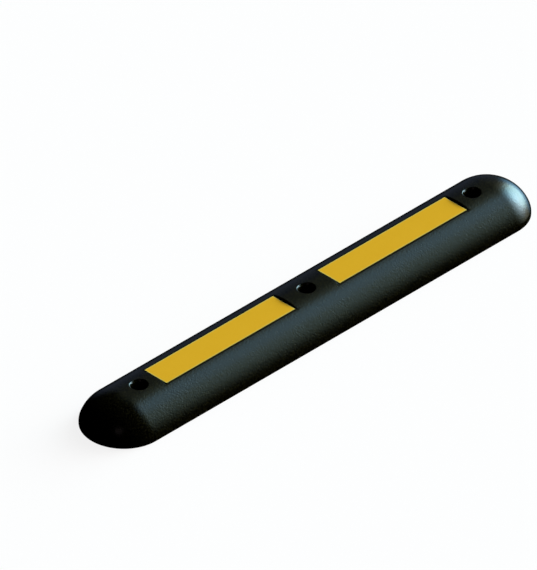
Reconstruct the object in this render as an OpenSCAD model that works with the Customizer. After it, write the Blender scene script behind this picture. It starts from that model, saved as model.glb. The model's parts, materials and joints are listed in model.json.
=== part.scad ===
// Flexible lane divider: an arched rubber block with round ends, two reflective strips
// in flat pockets along its crown, and three bolt wells with steel seat washers.
// Lengths are in millimetres. X runs along the divider, Z is up, and the base is at Z = 0.

/* [Body] */
// Length over the rounded ends
body_l = 1000; // [700:10:1500]
// Width across the base
body_w = 150; // [135:1:185]
// Height at the crown
body_h = 60; // [52:1:72]
// Radius of the crown arc
crown_r = 95; // [75:1:140]
// Height at which the flank arc would run out into the line of the skirt
skirt_h = 8; // [4:0.5:12]
// Radius that blends the flank into the skirt
skirt_blend_r = 25; // [12:1:32]
// Bevel along the bottom edge
base_bevel = 1; // [0.5:0.1:2]

/* [Reflective strips] */
// Width of a strip
strip_w = 53; // [44:1:60]
// Thickness of a strip
strip_t = 1; // [0.6:0.1:2]
// Radius of a strip's corners
strip_corner_r = 2; // [0.5:0.1:6]
// Bare margin between a strip and the walls and edges of its pocket
strip_gap = 3; // [1:0.1:5]
// Distance from the axis of the middle hole to the near end of a strip
strip_inner = 52; // [40:1:80]
// Distance from the axis of an outer hole to the far end of a strip
strip_outer = 38; // [30:1:80]

/* [Fixing holes] */
// Distance from an end of the body to the axis of its outer hole
hole_end = 110; // [90:1:140]
// Diameter of the bolt hole
bolt_hole_d = 14; // [9:0.5:18]
// Diameter of the well for the bolt's head
well_d = 26; // [22:0.5:30]
// Chamfer at the mouth of the well, measured on the crown line
mouth_chamfer = 3.8; // [1:0.1:6]
// Height of the bolt head's seat above the base
seat_h = 25; // [15:1:35]

/* [Seat washers] */
// Outside diameter of a washer
washer_d = 36; // [33:1:48]
// Thickness of a washer
washer_t = 3; // [2:0.5:5]

/* [Underside grooves] */
// Number of grooves side by side
groove_count = 4; // [2:1:5]
// Distance between neighbouring grooves
groove_pitch = 28; // [20:1:30]
// Width of a groove at the base
groove_w = 8; // [5:0.5:12]
// Width of a groove at its root
groove_root_w = 5; // [2:0.5:8]
// Depth of a groove
groove_d = 3; // [1:0.5:6]
// Flat land from the axis of a hole to the end of a groove
groove_land = 30; // [24:1:60]

/* [Hidden] */

// Length by which a cut passes through the face that it opens
overrun = 2;
// Largest turn, in degrees, between two points of an arc
arc_step = 2;
$fn = 96;

// The straight stretch of the body runs between the axes of the two round ends
half_w = body_w / 2;
end_x = body_l / 2 - half_w;

// Crown arc: centred below the crown line, as wide as the strip pocket that it carries
crown_w = strip_w + 2 * strip_gap;
crown_c = [0, body_h - crown_r];
shoulder_a = acos(crown_w / 2 / crown_r);
shoulder_n = [cos(shoulder_a), sin(shoulder_a)];
shoulder = crown_c + crown_r * shoulder_n;

// Flank arc: leaves the shoulder along the crown arc's tangent and aims at the top of the skirt
flank_chord = shoulder - [half_w, skirt_h];
flank_r = (flank_chord * flank_chord) / (2 * (shoulder_n * flank_chord));
flank_c = shoulder - flank_r * shoulder_n;

// Blend arc: touches the upright skirt and the flank arc from inside
blend_x = half_w - skirt_blend_r;
blend_a = acos((blend_x - flank_c.x) / (flank_r - skirt_blend_r));
blend_c = flank_c + (flank_r - skirt_blend_r) * [cos(blend_a), sin(blend_a)];

// Strip pockets: a flat floor on the chord of the crown arc
pocket_z = shoulder.y;
hole_x = body_l / 2 - hole_end;
strip_l = hole_x - strip_inner - strip_outer;
strip_x = strip_inner + strip_l / 2;
pocket_l = strip_l + 2 * strip_gap;

// Grooves lie between the lands of neighbouring holes
groove_l = hole_x - 2 * groove_land;
groove_x = hole_x / 2;

// Points of an arc, from just after angle a to angle b
function arc(centre, radius, a, b) =
    let (steps = ceil(abs(b - a) / arc_step))
    [for (i = [1:steps]) let (t = a + (b - a) * i / steps) centre + radius * [cos(t), sin(t)]];

// Right half of the body's section, from the middle of the base round to the crown line
half_section = concat(
    [[0, 0], [half_w - base_bevel, 0], [half_w, base_bevel], [half_w, blend_c.y]],
    arc(blend_c, skirt_blend_r, 0, blend_a),
    arc(flank_c, flank_r, blend_a, shoulder_a),
    arc(crown_c, crown_r, shoulder_a, 90)
);
left_half = [for (i = [len(half_section) - 2:-1:1]) [-half_section[i].x, half_section[i].y]];

// Flat plate with round corners, centred on the origin
module rounded_plate(l, w, t, r) {
    linear_extrude(height = t) {
        square([l, w - 2 * r], center = true);
        square([l - 2 * r, w], center = true);
        for (x = [-1, 1], y = [-1, 1])
            translate([x * (l / 2 - r), y * (w / 2 - r)]) circle(r);
    }
}

// The arched block before anything is cut from it
module arched_block() {
    translate([-end_x, 0, 0])
        rotate([90, 0, 90])
            linear_extrude(height = 2 * end_x) polygon(concat(half_section, left_half));
    for (side = [-1, 1])
        translate([side * end_x, 0, 0])
            rotate([0, 0, -side * 90])
                rotate_extrude(angle = 180) polygon(half_section);
}

// Everything above the pocket's floor over the pocket's length
module pocket_cut() {
    translate([-pocket_l / 2, -half_w, pocket_z])
        cube([pocket_l, body_w, body_h - pocket_z + overrun]);
}

// Bolt hole, washer seat, well and chamfered mouth, stacked on one axis
module fixing_cut() {
    mid_washer = seat_h - washer_t / 2;
    chamfer_z = body_h - mouth_chamfer - overrun;
    chamfer_h = mouth_chamfer + 2 * overrun;
    translate([0, 0, -overrun]) cylinder(d = bolt_hole_d, h = mid_washer + overrun);
    translate([0, 0, seat_h - washer_t]) cylinder(d = washer_d, h = washer_t);
    translate([0, 0, mid_washer]) cylinder(d = well_d, h = body_h - mid_washer + overrun);
    translate([0, 0, chamfer_z])
        cylinder(d1 = well_d - 2 * overrun, d2 = well_d - 2 * overrun + 2 * chamfer_h, h = chamfer_h);
}

// One groove with tapered sides, cut up into the base along X
module groove_cut() {
    slope = (groove_w - groove_root_w) / 2 / groove_d;
    foot = groove_w / 2 + slope * overrun;
    translate([-groove_l / 2, 0, 0])
        rotate([90, 0, 90])
            linear_extrude(height = groove_l)
                polygon([
                    [-foot, -overrun],
                    [foot, -overrun],
                    [groove_root_w / 2, groove_d],
                    [-groove_root_w / 2, groove_d]
                ]);
}

module rubber_body() {
    color([0.09, 0.1, 0.09])
        difference() {
            arched_block();
            for (side = [-1, 1]) {
                translate([side * strip_x, 0, 0]) pocket_cut();
                for (i = [0:groove_count - 1])
                    translate([side * groove_x, (i - (groove_count - 1) / 2) * groove_pitch, 0])
                        groove_cut();
            }
            for (place = [-1, 0, 1])
                translate([place * hole_x, 0, 0]) fixing_cut();
        }
}

// One strip, flat on the floor of its pocket
module reflective_strip(side) {
    color([0.82, 0.66, 0.15])
        translate([side * strip_x, 0, pocket_z])
            rounded_plate(strip_l, strip_w, strip_t, strip_corner_r);
}

// One washer, held in the rubber with its top face level with the seat
module seat_washer(place) {
    color([0.72, 0.73, 0.74])
        translate([place * hole_x, 0, seat_h - washer_t])
            difference() {
                cylinder(d = washer_d, h = washer_t);
                translate([0, 0, -overrun]) cylinder(d = bolt_hole_d, h = washer_t + 2 * overrun);
            }
}

rubber_body();
reflective_strip(-1);  // reflective_strip_left
reflective_strip(1);  // reflective_strip_right
seat_washer(-1);  // seat_washer_left
seat_washer(0);  // seat_washer_middle
seat_washer(1);  // seat_washer_right
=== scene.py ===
"""Flexible lane divider: an arched rubber block with two reflective strips and three bolt wells.

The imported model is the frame. The rubber block and the strips are built again here with dense,
even faces and rounded edges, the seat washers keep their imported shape, and all get materials.
Lengths are in metres. X runs along the divider, Z is up, and the base is at Z = 0.
"""
import json
import math

import bmesh
import bpy
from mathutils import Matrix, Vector


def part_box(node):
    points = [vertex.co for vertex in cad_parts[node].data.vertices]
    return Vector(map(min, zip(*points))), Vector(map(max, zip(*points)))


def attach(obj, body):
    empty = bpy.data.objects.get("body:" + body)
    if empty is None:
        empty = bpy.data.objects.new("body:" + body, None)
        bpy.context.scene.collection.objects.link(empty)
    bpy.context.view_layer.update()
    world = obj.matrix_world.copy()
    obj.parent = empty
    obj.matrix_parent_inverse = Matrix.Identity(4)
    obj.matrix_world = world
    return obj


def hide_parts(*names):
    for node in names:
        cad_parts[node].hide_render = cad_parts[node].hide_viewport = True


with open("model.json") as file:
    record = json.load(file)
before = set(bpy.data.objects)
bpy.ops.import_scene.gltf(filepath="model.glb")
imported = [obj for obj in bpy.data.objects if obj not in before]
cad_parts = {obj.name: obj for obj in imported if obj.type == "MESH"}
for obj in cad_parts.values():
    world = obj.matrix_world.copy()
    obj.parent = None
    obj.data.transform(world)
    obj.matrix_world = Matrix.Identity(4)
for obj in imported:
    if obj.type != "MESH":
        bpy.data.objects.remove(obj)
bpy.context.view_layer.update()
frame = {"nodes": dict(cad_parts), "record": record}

MM = 0.001
QUARTER = math.pi / 2

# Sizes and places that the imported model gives
BODY_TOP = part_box("rubber_body")[1]
HALF_W = BODY_TOP.y
BODY_H = BODY_TOP.z
END_X = BODY_TOP.x - HALF_W
STRIP_LOW, STRIP_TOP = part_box("reflective_strip_right")
WASHER_LOW, WASHER_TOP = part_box("seat_washer_right")
HOLE_X = (WASHER_LOW.x + WASHER_TOP.x) / 2
WASHER_R = WASHER_TOP.y
BOLT_R = next(m["dims"]["r_mm"] * MM for m in frame["record"]["mounts"] if m["kind"] == "bore")

# Section of the body, its wells and its grooves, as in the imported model
CROWN_R = 95 * MM
SKIRT_H = 8 * MM
SKIRT_BLEND_R = 25 * MM
STRIP_GAP = 3 * MM
STRIP_CORNER_R = 2 * MM
WELL_R = 13 * MM
GROOVE_COUNT = 4
GROOVE_PITCH = 28 * MM
GROOVE_W = 8 * MM
GROOVE_ROOT_W = 5 * MM
GROOVE_D = 3 * MM
GROOVE_LAND = 30 * MM

# Mouth of a well: a cone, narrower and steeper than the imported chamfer, as the photograph shows it
MOUTH_CHAMFER = 3.3 * MM
MOUTH_RISE = math.tan(math.radians(55))

# Small roundings of the moulded edges
BASE_ROUND = 1 * MM
MOUTH_ROUND = 0.7 * MM
THROAT_ROUND = 1 * MM
POCKET_ROUND = 0.7 * MM
STRIP_ROUND = 0.3 * MM

# A pocket's wall is at least this many roundings high, so its roundings shrink where it runs out
POCKET_WALL_ROUNDS = 3
# Flat ring along a strip's edge, which keeps the shading of its top even
STRIP_RIM = 1 * MM

# Fineness of the meshes
ROUND_STEPS = 8
BLEND_STEPS = 10
FLANK_STEPS = 28
CROWN_COLUMNS = 12
END_STEPS = 64
ZONE_STEPS = 24
POCKET_STEPS = 30
APRON_RINGS = 8
CHAMFER_RINGS = 3
WELL_RINGS = 6
CORNER_STEPS = 6
RIM_PASSES = 8
MERGE_DISTANCE = 1e-6
SHARP_ANGLE = math.radians(15)

# Rubber: noise scales in cells per metre, relief depths in metres, colours in linear light
RUBBER_SPECULAR = 0.27
RUBBER_TINT = (0.55, 0.85, 0.92, 1)
RUBBER_DARK = (0.0006, 0.0005, 0.0001)
RUBBER_SPECK = (0.0120, 0.0100, 0.0030)
RUBBER_SPECK_SCALE = 420
RUBBER_SPECK_RANGE = (0.45, 0.70)
RUBBER_CLOUD_SCALE = 45
RUBBER_PEBBLE_SCALE = 340
RUBBER_PEBBLE_DEPTH = 0.6 * MM
RUBBER_PEBBLE_STRENGTH = 0.44
RUBBER_GRAIN_SCALE = 1500
RUBBER_GRAIN_DEPTH = 0.1 * MM
RUBBER_GRAIN_STRENGTH = 0.25
RUBBER_ROUGHNESS = (0.09, 0.16)

# Reflective sheet: the pale border and the painted shade along the edge are ranges of distance from the
# edge
SHEET_SPECULAR = 0.05
SHEET_DEEP = (0.690, 0.329, 0.0130)
SHEET_LIGHT = (0.730, 0.360, 0.0158)
SHEET_BEAD = (0.720, 0.352, 0.0147)
SHEET_BORDER = (0.62, 0.47, 0.10)
# Painted shade: the dark olive colour of a band along the sheet's edge
SHEET_EDGE_SHADE = (0.06, 0.042, 0.003)
SHEET_BORDER_RANGE = (1.2 * MM, 2.4 * MM)
SHEET_EDGE_SHADE_RANGE = (0.4 * MM, 0.9 * MM)
SHEET_CLOUD_SCALE = 30
SHEET_BEAD_SCALE = 2600
SHEET_BEAD_RANGE = (0.35, 0.65)
SHEET_BEAD_DEPTH = 0.05 * MM
SHEET_BEAD_STRENGTH = 0.25
SHEET_ROUGHNESS = (0.26, 0.36)

# Zinc-plated steel
STEEL_DARK = (0.48, 0.49, 0.50)
STEEL_LIGHT = (0.60, 0.61, 0.62)
STEEL_SPANGLE_SCALE = 260
STEEL_SCRATCH_SCALE = 2200
STEEL_SCRATCH_DEPTH = 0.05 * MM
STEEL_SCRATCH_STRENGTH = 0.3
STEEL_ROUGHNESS = (0.28, 0.46)

# Range of the sum of two noises, over which a roughness varies
NOISE_SUM_RANGE = (0.6, 1.4)

# Floor: its own white keeps the object's shadow on it faint
FLOOR_COLOUR = (0.98, 0.84, 0.79, 1)
FLOOR_OWN_WHITE = 0.86
FLOOR_R = 60
FLOOR_DROP = 0.05 * MM
FLOOR_OVERLAP = 4 * MM

# Camera: focal length in millimetres, angles in degrees, and the offset of the aim from the origin
CAMERA_LENS = 1400
CAMERA_DISTANCE = 36.75
CAMERA_AZIMUTH = 134.921
CAMERA_ELEVATION = 35.266
AIM_RIGHT = -0.0628
AIM_UP = 0.0534


def arc(centre, radius, start, stop, steps):
    """Points of an arc, both ends included."""
    turns = [start + (stop - start) * i / steps for i in range(steps + 1)]
    return [centre + radius * Vector((math.cos(a), math.sin(a))) for a in turns]


def spread(start, stop, steps):
    """Evenly spaced numbers, both ends included."""
    return [start + (stop - start) * i / steps for i in range(steps + 1)]


def curve(start, corner, stop, steps):
    """Points of a smooth turn from one line to the next, without the first."""
    shares = spread(0, 1, steps)[1:]
    return [start * (1 - t) ** 2 + corner * (2 * t * (1 - t)) + stop * t ** 2 for t in shares]


# The crown arc carries the strips. The flank arc leaves it at the shoulder along the same tangent.
CROWN_HALF = STRIP_TOP.y + STRIP_GAP
CROWN_C = Vector((0, BODY_H - CROWN_R))
SHOULDER_A = math.acos(CROWN_HALF / CROWN_R)
SHOULDER_N = Vector((math.cos(SHOULDER_A), math.sin(SHOULDER_A)))
SHOULDER = CROWN_C + CROWN_R * SHOULDER_N
FLANK_CHORD = SHOULDER - Vector((HALF_W, SKIRT_H))
FLANK_R = FLANK_CHORD.length_squared / (2 * SHOULDER_N.dot(FLANK_CHORD))
FLANK_C = SHOULDER - FLANK_R * SHOULDER_N
BLEND_A = math.acos((HALF_W - SKIRT_BLEND_R - FLANK_C.x) / (FLANK_R - SKIRT_BLEND_R))
BLEND_C = FLANK_C + (FLANK_R - SKIRT_BLEND_R) * Vector((math.cos(BLEND_A), math.sin(BLEND_A)))

# Pockets lie on the chord of the crown arc. The cone of a well's mouth starts at MOUTH_Z.
POCKET_Z = SHOULDER.y
POCKET_NEAR = STRIP_LOW.x - STRIP_GAP - POCKET_ROUND
POCKET_FAR = STRIP_TOP.x + STRIP_GAP + POCKET_ROUND
MOUTH_Z = BODY_H - MOUTH_CHAMFER * MOUTH_RISE

# Distances of the crown's rows of points from the middle line, from the shoulder inwards and across
CROWN_WIDTHS = [CROWN_R * math.cos(a) for a in spread(SHOULDER_A, QUARTER, CROWN_COLUMNS)]
CROWN_ROWS = CROWN_WIDTHS[:-1] + [0] + [-w for w in reversed(CROWN_WIDTHS[:-1])]


def crown_z(w):
    """Height of the crown arc at a distance from the middle line."""
    return CROWN_C.y + math.sqrt(CROWN_R ** 2 - w ** 2)


def flank_profile():
    """Half section from the base's edge up to the shoulder."""
    foot_c = Vector((HALF_W - BASE_ROUND, BASE_ROUND))
    foot = arc(foot_c, BASE_ROUND, -QUARTER, 0, ROUND_STEPS)
    blend = arc(BLEND_C, SKIRT_BLEND_R, 0, BLEND_A, BLEND_STEPS)
    flank = arc(FLANK_C, FLANK_R, BLEND_A, SHOULDER_A, FLANK_STEPS)
    return foot + blend + flank[1:]


def patch(bm, rows):
    """Joins neighbouring rows of points with four-sided faces."""
    rings = [[bm.verts.new(p) for p in row] for row in rows]
    for low, high in zip(rings, rings[1:]):
        for a, b, c, d in zip(low, low[1:], high[1:], high):
            bm.faces.new((a, b, c, d))


def pocket_row(w):
    """Points along X at one distance from the middle line: end wall, floor, end wall."""
    wall_h = crown_z(w) - POCKET_Z
    r = min(POCKET_ROUND, wall_h / POCKET_WALL_ROUNDS)
    lip = arc(Vector((POCKET_NEAR, POCKET_Z + wall_h - r)), r, QUARTER, 0, ROUND_STEPS)
    foot = arc(Vector((POCKET_NEAR + 2 * r, POCKET_Z + r)), r, 2 * QUARTER, 3 * QUARTER, ROUND_STEPS)
    near = lip + foot
    far = [Vector((POCKET_NEAR + POCKET_FAR - p.x, p.y)) for p in reversed(near)]
    floor = [Vector((x, POCKET_Z)) for x in spread(near[-1].x, far[0].x, POCKET_STEPS)[1:-1]]
    return near + floor + far


def zone_stations(low, high):
    """Places along X of the points on the stretch round a hole."""
    return spread(low, high, ZONE_STEPS)


def hole_spoke(axis_x, edge_x, edge_w):
    """Points from one point of the stretch's edge in to the well, and down it."""
    out = Vector((edge_x - axis_x, edge_w))
    reach = out.length
    out.normalize()
    rim = WELL_R + MOUTH_CHAMFER
    for _ in range(RIM_PASSES):
        rim = WELL_R + (crown_z(rim * out.y) - MOUTH_Z) / MOUTH_RISE

    def on_crown(r):
        return Vector((r, crown_z(r * out.y)))

    def on_cone(r):
        return Vector((r, MOUTH_Z + (r - WELL_R) * MOUTH_RISE))

    lip = curve(on_crown(rim + MOUTH_ROUND), on_crown(rim), on_cone(rim - MOUTH_ROUND), ROUND_STEPS)
    throat_in = on_cone(WELL_R + THROAT_ROUND)
    throat_out = Vector((WELL_R, MOUTH_Z - THROAT_ROUND))
    line = [on_crown(r) for r in spread(reach, rim + MOUTH_ROUND, APRON_RINGS)]
    line += lip
    line += [on_cone(r) for r in spread(lip[-1].x, throat_in.x, CHAMFER_RINGS)[1:]]
    line += curve(throat_in, on_cone(WELL_R), throat_out, ROUND_STEPS)
    line += [Vector((WELL_R, z)) for z in spread(throat_out.y, WASHER_TOP.z, WELL_RINGS)[1:]]
    line += [Vector((WASHER_R, WASHER_TOP.z)), Vector((WASHER_R, WASHER_LOW.z))]
    line += [Vector((BOLT_R, WASHER_LOW.z)), Vector((BOLT_R, 0))]
    return [(axis_x + p.x * out.x, p.x * out.y, p.y) for p in line]


def hole_rings(axis_x, low, high):
    """Rings from the edge of a hole's stretch of crown, down its well, to the bolt hole's foot."""
    along = zone_stations(low, high)
    edge = [(x, CROWN_ROWS[-1]) for x in along[:-1]]
    edge += [(high, w) for w in reversed(CROWN_ROWS[1:])]
    edge += [(x, CROWN_ROWS[0]) for x in reversed(along[1:])]
    edge += [(low, w) for w in CROWN_ROWS]
    spokes = [hole_spoke(axis_x, x, w) for x, w in edge]
    return list(zip(*spokes))


def add_groove(bm, low, high, middle_y):
    """One trough with tapered sides, open at the base."""
    half, root = GROOVE_W / 2, GROOVE_ROOT_W / 2
    section = [(-half, 0), (-root, GROOVE_D), (root, GROOVE_D), (half, 0)]
    patch(bm, [[(x, middle_y + y, z) for x in (low, high)] for y, z in section])
    for x in (low, high):
        bm.faces.new([bm.verts.new((x, middle_y + y, z)) for y, z in section])


def new_object(name, bm, material):
    """Turns a bmesh into a smooth-shaded object whose true edges stay sharp."""
    bmesh.ops.remove_doubles(bm, verts=bm.verts, dist=MERGE_DISTANCE)
    bmesh.ops.recalc_face_normals(bm, faces=bm.faces)
    mesh = bpy.data.meshes.new(name)
    bm.to_mesh(mesh)
    bm.free()
    mesh.shade_smooth()
    mesh.set_sharp_from_angle(angle=SHARP_ANGLE)
    mesh.materials.append(material)
    obj = bpy.data.objects.new(name, mesh)
    bpy.context.collection.objects.link(obj)
    obj.modifiers.new("even_shading", "WEIGHTED_NORMAL").keep_sharp = True
    return obj


def make_body(material):
    """The rubber block: flanks, round ends, pockets, grooves and holes, closed by the base."""
    bm = bmesh.new()
    flank = flank_profile()
    crown = [Vector((w, crown_z(w))) for w in CROWN_WIDTHS[1:-1]] + [Vector((0, BODY_H))]
    turns = spread(-QUARTER, QUARTER, END_STEPS)
    zones = [
        (-HOLE_X, -END_X, -POCKET_FAR),
        (0, -POCKET_NEAR, POCKET_NEAR),
        (HOLE_X, POCKET_FAR, END_X),
    ]
    pocket = spread(POCKET_NEAR, POCKET_FAR, POCKET_STEPS)
    stations = zone_stations(*zones[0][1:]) + [-x for x in reversed(pocket)][1:]
    stations += zone_stations(*zones[1][1:])[1:] + pocket[1:] + zone_stations(*zones[2][1:])[1:]
    for side in (-1, 1):
        patch(bm, [[(x, side * p.x, p.y) for x in stations] for p in flank])
        patch(bm, [
            [(side * (END_X + p.x * math.cos(a)), p.x * math.sin(a), p.y) for a in turns]
            for p in flank + crown
        ])
        patch(bm, [[(side * p.x, w, p.y) for p in pocket_row(w)] for w in CROWN_ROWS])
        for i in range(GROOVE_COUNT):
            middle_y = (i - (GROOVE_COUNT - 1) / 2) * GROOVE_PITCH
            add_groove(bm, side * GROOVE_LAND, side * (HOLE_X - GROOVE_LAND), middle_y)
    for zone in zones:
        patch(bm, hole_rings(*zone))
    bmesh.ops.remove_doubles(bm, verts=bm.verts, dist=MERGE_DISTANCE)
    base_edges = [e for e in bm.edges if e.is_boundary]
    bmesh.ops.triangle_fill(bm, use_beauty=True, edges=base_edges)
    return new_object("body_rubber", bm, material)


def plate_outline(half_l, half_w, corner_r):
    """Outline of a plate with round corners, centred on the origin."""
    points = []
    for turn, (sx, sy) in enumerate(((1, 1), (-1, 1), (-1, -1), (1, -1))):
        centre = Vector((sx * (half_l - corner_r), sy * (half_w - corner_r)))
        start = turn * QUARTER
        points += arc(centre, corner_r, start, start + QUARTER, CORNER_STEPS)
    return points


def make_strip(name, node, material):
    """A flat sheet with round corners and a rounded top edge, in the place of its node."""
    low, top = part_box(node)
    half = (top - low) / 2
    thick = 2 * half.z
    bm = bmesh.new()
    shoulder_c = Vector((-STRIP_ROUND, thick - STRIP_ROUND))
    shoulder = arc(shoulder_c, STRIP_ROUND, 0, QUARTER, ROUND_STEPS)
    levels = [Vector((0, 0))] + shoulder + [Vector((-STRIP_RIM, thick))]
    rings = []
    for inset, z in levels:
        outline = plate_outline(half.x + inset, half.y + inset, STRIP_CORNER_R + inset)
        rings.append([(p.x, p.y, z) for p in outline + outline[:1]])
    patch(bm, rings)
    for ring in (rings[0], rings[-1]):
        bm.faces.new([bm.verts.new(p) for p in ring[:-1]])
    strip = new_object(name, bm, material)
    strip.location = ((low.x + top.x) / 2, (low.y + top.y) / 2, low.z)
    return strip


class Nodes:
    """Short forms for building one node tree."""

    def __init__(self, owner, shader="Principled BSDF", coords="Object"):
        owner.use_nodes = True
        self.tree = owner.node_tree
        self.shader = self.tree.nodes[shader]
        self.coords = self.add("ShaderNodeTexCoord").outputs[coords]

    def add(self, kind, **values):
        node = self.tree.nodes.new(kind)
        for name, value in values.items():
            setattr(node, name, value)
        return node

    def link(self, output, node, socket):
        self.tree.links.new(output, node.inputs[socket])

    def set(self, socket, value):
        """Sets one of the shader's own sockets."""
        self.shader.inputs[socket].default_value = value

    def drive(self, socket, output):
        """Links one of the shader's own sockets."""
        self.link(output, self.shader, socket)

    def noise(self, scale, detail=2, roughness=0.5):
        node = self.add("ShaderNodeTexNoise")
        node.inputs["Scale"].default_value = scale
        node.inputs["Detail"].default_value = detail
        node.inputs["Roughness"].default_value = roughness
        self.link(self.coords, node, "Vector")
        return node.outputs["Fac"]

    def math(self, operation, a, b=0.0):
        node = self.add("ShaderNodeMath", operation=operation)
        for i, value in enumerate((a, b)):
            if isinstance(value, bpy.types.NodeSocket):
                self.link(value, node, i)
            else:
                node.inputs[i].default_value = value
        return node.outputs[0]

    def remap(self, value, low, high, to_low, to_high, smooth=False):
        node = self.add("ShaderNodeMapRange")
        node.interpolation_type = "SMOOTHSTEP" if smooth else "LINEAR"
        node.inputs["From Min"].default_value = low
        node.inputs["From Max"].default_value = high
        node.inputs["To Min"].default_value = to_low
        node.inputs["To Max"].default_value = to_high
        self.link(value, node, "Value")
        return node.outputs["Result"]

    def mix(self, fac, a, b):
        node = self.add("ShaderNodeMix", data_type="RGBA")
        self.link(fac, node, 0)
        for i, value in ((6, a), (7, b)):
            if isinstance(value, bpy.types.NodeSocket):
                self.link(value, node, i)
            else:
                node.inputs[i].default_value = (*value, 1)
        return node.outputs[2]

    def bump(self, height, distance, strength, below=None):
        node = self.add("ShaderNodeBump")
        node.inputs["Distance"].default_value = distance
        node.inputs["Strength"].default_value = strength
        self.link(height, node, "Height")
        if below is not None:
            self.link(below, node, "Normal")
        return node.outputs["Normal"]

    def axes(self):
        node = self.add("ShaderNodeSeparateXYZ")
        self.link(self.coords, node, 0)
        return node.outputs

    def uneven_roughness(self, a, b, low, high):
        """Varies the roughness between two values with the sum of two noises."""
        total = self.math("ADD", a, b)
        self.drive("Roughness", self.remap(total, *NOISE_SUM_RANGE, low, high))


def rubber_material():
    """Black moulded rubber with a fine pebbled grain and lighter specks."""
    material = bpy.data.materials.new("moulded_rubber")
    n = Nodes(material)
    n.set("Specular IOR Level", RUBBER_SPECULAR)
    n.set("Specular Tint", RUBBER_TINT)
    cloud = n.noise(RUBBER_CLOUD_SCALE, detail=4)
    pebble = n.noise(RUBBER_PEBBLE_SCALE)
    grain = n.noise(RUBBER_GRAIN_SCALE)
    speck = n.remap(n.noise(RUBBER_SPECK_SCALE, detail=3), *RUBBER_SPECK_RANGE, 0, 1)
    n.drive("Base Color", n.mix(speck, RUBBER_DARK, RUBBER_SPECK))
    n.uneven_roughness(cloud, pebble, *RUBBER_ROUGHNESS)
    relief = n.bump(pebble, RUBBER_PEBBLE_DEPTH, RUBBER_PEBBLE_STRENGTH)
    n.drive("Normal", n.bump(grain, RUBBER_GRAIN_DEPTH, RUBBER_GRAIN_STRENGTH, below=relief))
    return material


def strip_material(half_l, half_w):
    """Beaded yellow sheet with a pale border and painted shade in a dark band along its edge."""
    material = bpy.data.materials.new("reflective_sheet_yellow")
    n = Nodes(material)
    n.set("Specular IOR Level", SHEET_SPECULAR)
    cloud = n.noise(SHEET_CLOUD_SCALE, detail=3)
    beads = n.noise(SHEET_BEAD_SCALE, detail=1)
    axes = n.axes()
    to_end = n.math("SUBTRACT", half_l, n.math("ABSOLUTE", axes["X"]))
    to_side = n.math("SUBTRACT", half_w, n.math("ABSOLUTE", axes["Y"]))
    to_edge = n.math("MINIMUM", to_end, to_side)
    border = n.remap(to_edge, *SHEET_BORDER_RANGE, 1, 0, smooth=True)
    # Painted shade: a dark band along the sheet's edge
    edge_shade = n.remap(to_edge, *SHEET_EDGE_SHADE_RANGE, 1, 0, smooth=True)
    clouded = n.mix(cloud, SHEET_DEEP, SHEET_LIGHT)
    beaded = n.mix(n.remap(beads, *SHEET_BEAD_RANGE, 0, 1), clouded, SHEET_BEAD)
    bordered = n.mix(border, beaded, SHEET_BORDER)
    n.drive("Base Color", n.mix(edge_shade, bordered, SHEET_EDGE_SHADE))
    n.uneven_roughness(cloud, beads, *SHEET_ROUGHNESS)
    n.drive("Normal", n.bump(beads, SHEET_BEAD_DEPTH, SHEET_BEAD_STRENGTH))
    return material


def steel_material():
    """Zinc plating with a faint spangle and fine scratches."""
    material = bpy.data.materials.new("zinc_plated_steel")
    n = Nodes(material)
    n.set("Metallic", 1)
    spangle = n.noise(STEEL_SPANGLE_SCALE, detail=3)
    scratch = n.noise(STEEL_SCRATCH_SCALE)
    n.drive("Base Color", n.mix(spangle, STEEL_DARK, STEEL_LIGHT))
    n.uneven_roughness(spangle, scratch, *STEEL_ROUGHNESS)
    n.drive("Normal", n.bump(scratch, STEEL_SCRATCH_DEPTH, STEEL_SCRATCH_STRENGTH))
    return material


def floor_material():
    """White paper. Most of its white is its own, so that the object's shadow on it stays faint."""
    material = bpy.data.materials.new("studio_floor")
    n = Nodes(material)
    n.set("Base Color", FLOOR_COLOUR)
    n.set("Roughness", 1)
    n.set("Specular IOR Level", 0)
    rays = n.add("ShaderNodeLightPath").outputs
    seen = n.math("MAXIMUM", rays["Is Camera Ray"], rays["Is Transmission Ray"])
    seen = n.math("MAXIMUM", seen, rays["Is Glossy Ray"])
    white = n.add("ShaderNodeEmission")
    mixed = n.add("ShaderNodeMixShader")
    n.link(n.math("MULTIPLY", seen, FLOOR_OWN_WHITE), mixed, "Fac")
    n.link(n.shader.outputs[0], mixed, 1)
    n.link(white.outputs[0], mixed, 2)
    n.link(mixed.outputs[0], n.tree.nodes["Material Output"], "Surface")
    return material


def make_floor():
    """A wide floor with an opening under the object, so that its bolt holes and base stay dark."""
    inner = arc(Vector((END_X, 0)), HALF_W - FLOOR_OVERLAP, -QUARTER, QUARTER, END_STEPS)
    inner += [-p for p in inner] + inner[:1]
    outer = [p.normalized() * FLOOR_R for p in inner]
    bm = bmesh.new()
    patch(bm, [[(p.x, p.y, -FLOOR_DROP) for p in ring] for ring in (inner, outer)])
    floor = new_object("studio_floor", bm, floor_material())
    floor.visible_glossy = False
    floor.visible_diffuse = False


def towards(azimuth, elevation):
    """Unit vector for an azimuth from +X round towards the viewer's side, and an elevation, in degrees."""
    a, e = math.radians(azimuth), math.radians(elevation)
    return Vector((math.cos(e) * math.cos(a), -math.cos(e) * math.sin(a), math.sin(e)))


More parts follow.
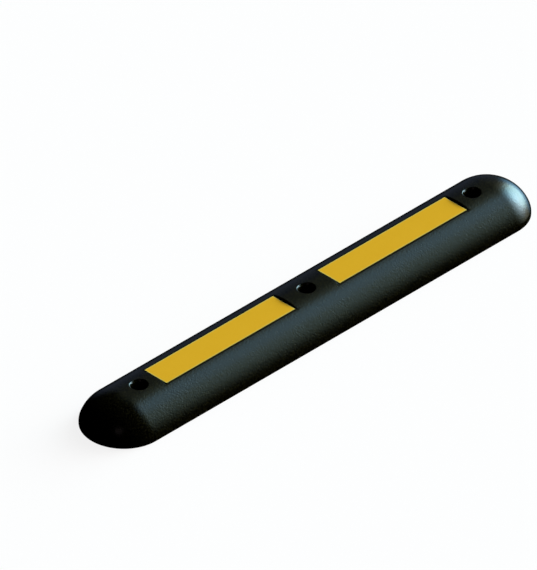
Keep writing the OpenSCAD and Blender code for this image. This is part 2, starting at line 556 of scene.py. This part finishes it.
def add_light(n, total, colour, azimuth, elevation, inner, outer, strength):
    """Adds a round soft light far away: full inside one angle, none outside the other, in degrees."""
    middle = n.add("ShaderNodeVectorMath", operation="DOT_PRODUCT")
    n.link(n.coords, middle, 0)
    middle.inputs[1].default_value = towards(azimuth, elevation)
    off = n.math("ARCCOSINE", middle.outputs["Value"])
    light = n.add("ShaderNodeBackground")
    light.inputs["Color"].default_value = (*colour, 1)
    fade = n.remap(off, math.radians(inner), math.radians(outer), strength, 0, smooth=True)
    n.link(fade, light, "Strength")
    if total is None:
        return light.outputs[0]
    both = n.add("ShaderNodeAddShader")
    n.link(total, both, 0)
    n.link(light.outputs[0], both, 1)
    return both.outputs[0]


def light_scene():
    """Round soft lights, most of them beyond the far end, with faint ones behind and in front."""
    world = bpy.data.worlds.new("studio")
    n = Nodes(world, "Background", "Generated")
    key = dict(colour=(0.53, 1, 1.34), strength=4.65, azimuth=2, elevation=31, inner=8, outer=23)
    left = dict(colour=(0.62, 1, 1.02), strength=7.8, azimuth=-0.5, elevation=16, inner=12, outer=28)
    right = dict(colour=(0.92, 1, 1.12), strength=13.3, azimuth=17.5, elevation=20, inner=0, outer=31.5)
    rim = dict(colour=(0.51, 1, 1.43), strength=2.5, azimuth=-13, elevation=1, inner=4.5, outer=26.5)
    wide = dict(colour=(1.06, 1, 0.75), strength=1.35, azimuth=14, elevation=22, inner=30, outer=45.5)
    cool = dict(colour=(0.71, 1, 1.53), strength=1.08, azimuth=15.5, elevation=45.5, inner=6, outer=22.5)
    warm = dict(colour=(1, 1, 0.84), strength=0.19, azimuth=-20, elevation=37.5, inner=17, outer=34)
    back = dict(colour=(0.81, 1, 1.5), strength=0.1, azimuth=-50, elevation=8, inner=8, outer=28)
    front = dict(colour=(1.9, 1, 0.92), strength=0.22, azimuth=150, elevation=34, inner=3, outer=13)
    total = None
    for light in (key, left, right, rim, wide, cool, warm, back, front):
        total = add_light(n, total, **light)
    n.link(total, n.tree.nodes["World Output"], "Surface")
    bpy.context.scene.world = world


def make_camera():
    """A very long lens, because the photograph's lines along each axis stay parallel."""
    back = towards(CAMERA_AZIMUTH, CAMERA_ELEVATION)
    right = Vector((0, 0, 1)).cross(back).normalized()
    up = back.cross(right)
    camera = bpy.data.cameras.new("camera")
    camera.lens = CAMERA_LENS
    camera.clip_end = 2 * CAMERA_DISTANCE
    obj = bpy.data.objects.new("camera", camera)
    obj.location = AIM_RIGHT * right + AIM_UP * up + CAMERA_DISTANCE * back
    obj.rotation_euler = back.to_track_quat("Z", "Y").to_euler()
    bpy.context.collection.objects.link(obj)
    bpy.context.scene.camera = obj


def dress(piece, node):
    """Lets a piece stand for its node, on the one body that there is."""
    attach(piece, "root")
    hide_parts(node)


bpy.context.scene.view_settings.view_transform = "Standard"
make_camera()
make_floor()
light_scene()

dress(make_body(rubber_material()), "rubber_body")
strip_half = (STRIP_TOP - STRIP_LOW) / 2
sheet = strip_material(strip_half.x, strip_half.y)
for side in ("left", "right"):
    node = "reflective_strip_" + side
    dress(make_strip("strip_sheet_" + side, node, sheet), node)
steel = steel_material()
for place in ("left", "middle", "right"):
    washer = frame["nodes"]["seat_washer_" + place]
    washer.data.materials.clear()
    washer.data.materials.append(steel)
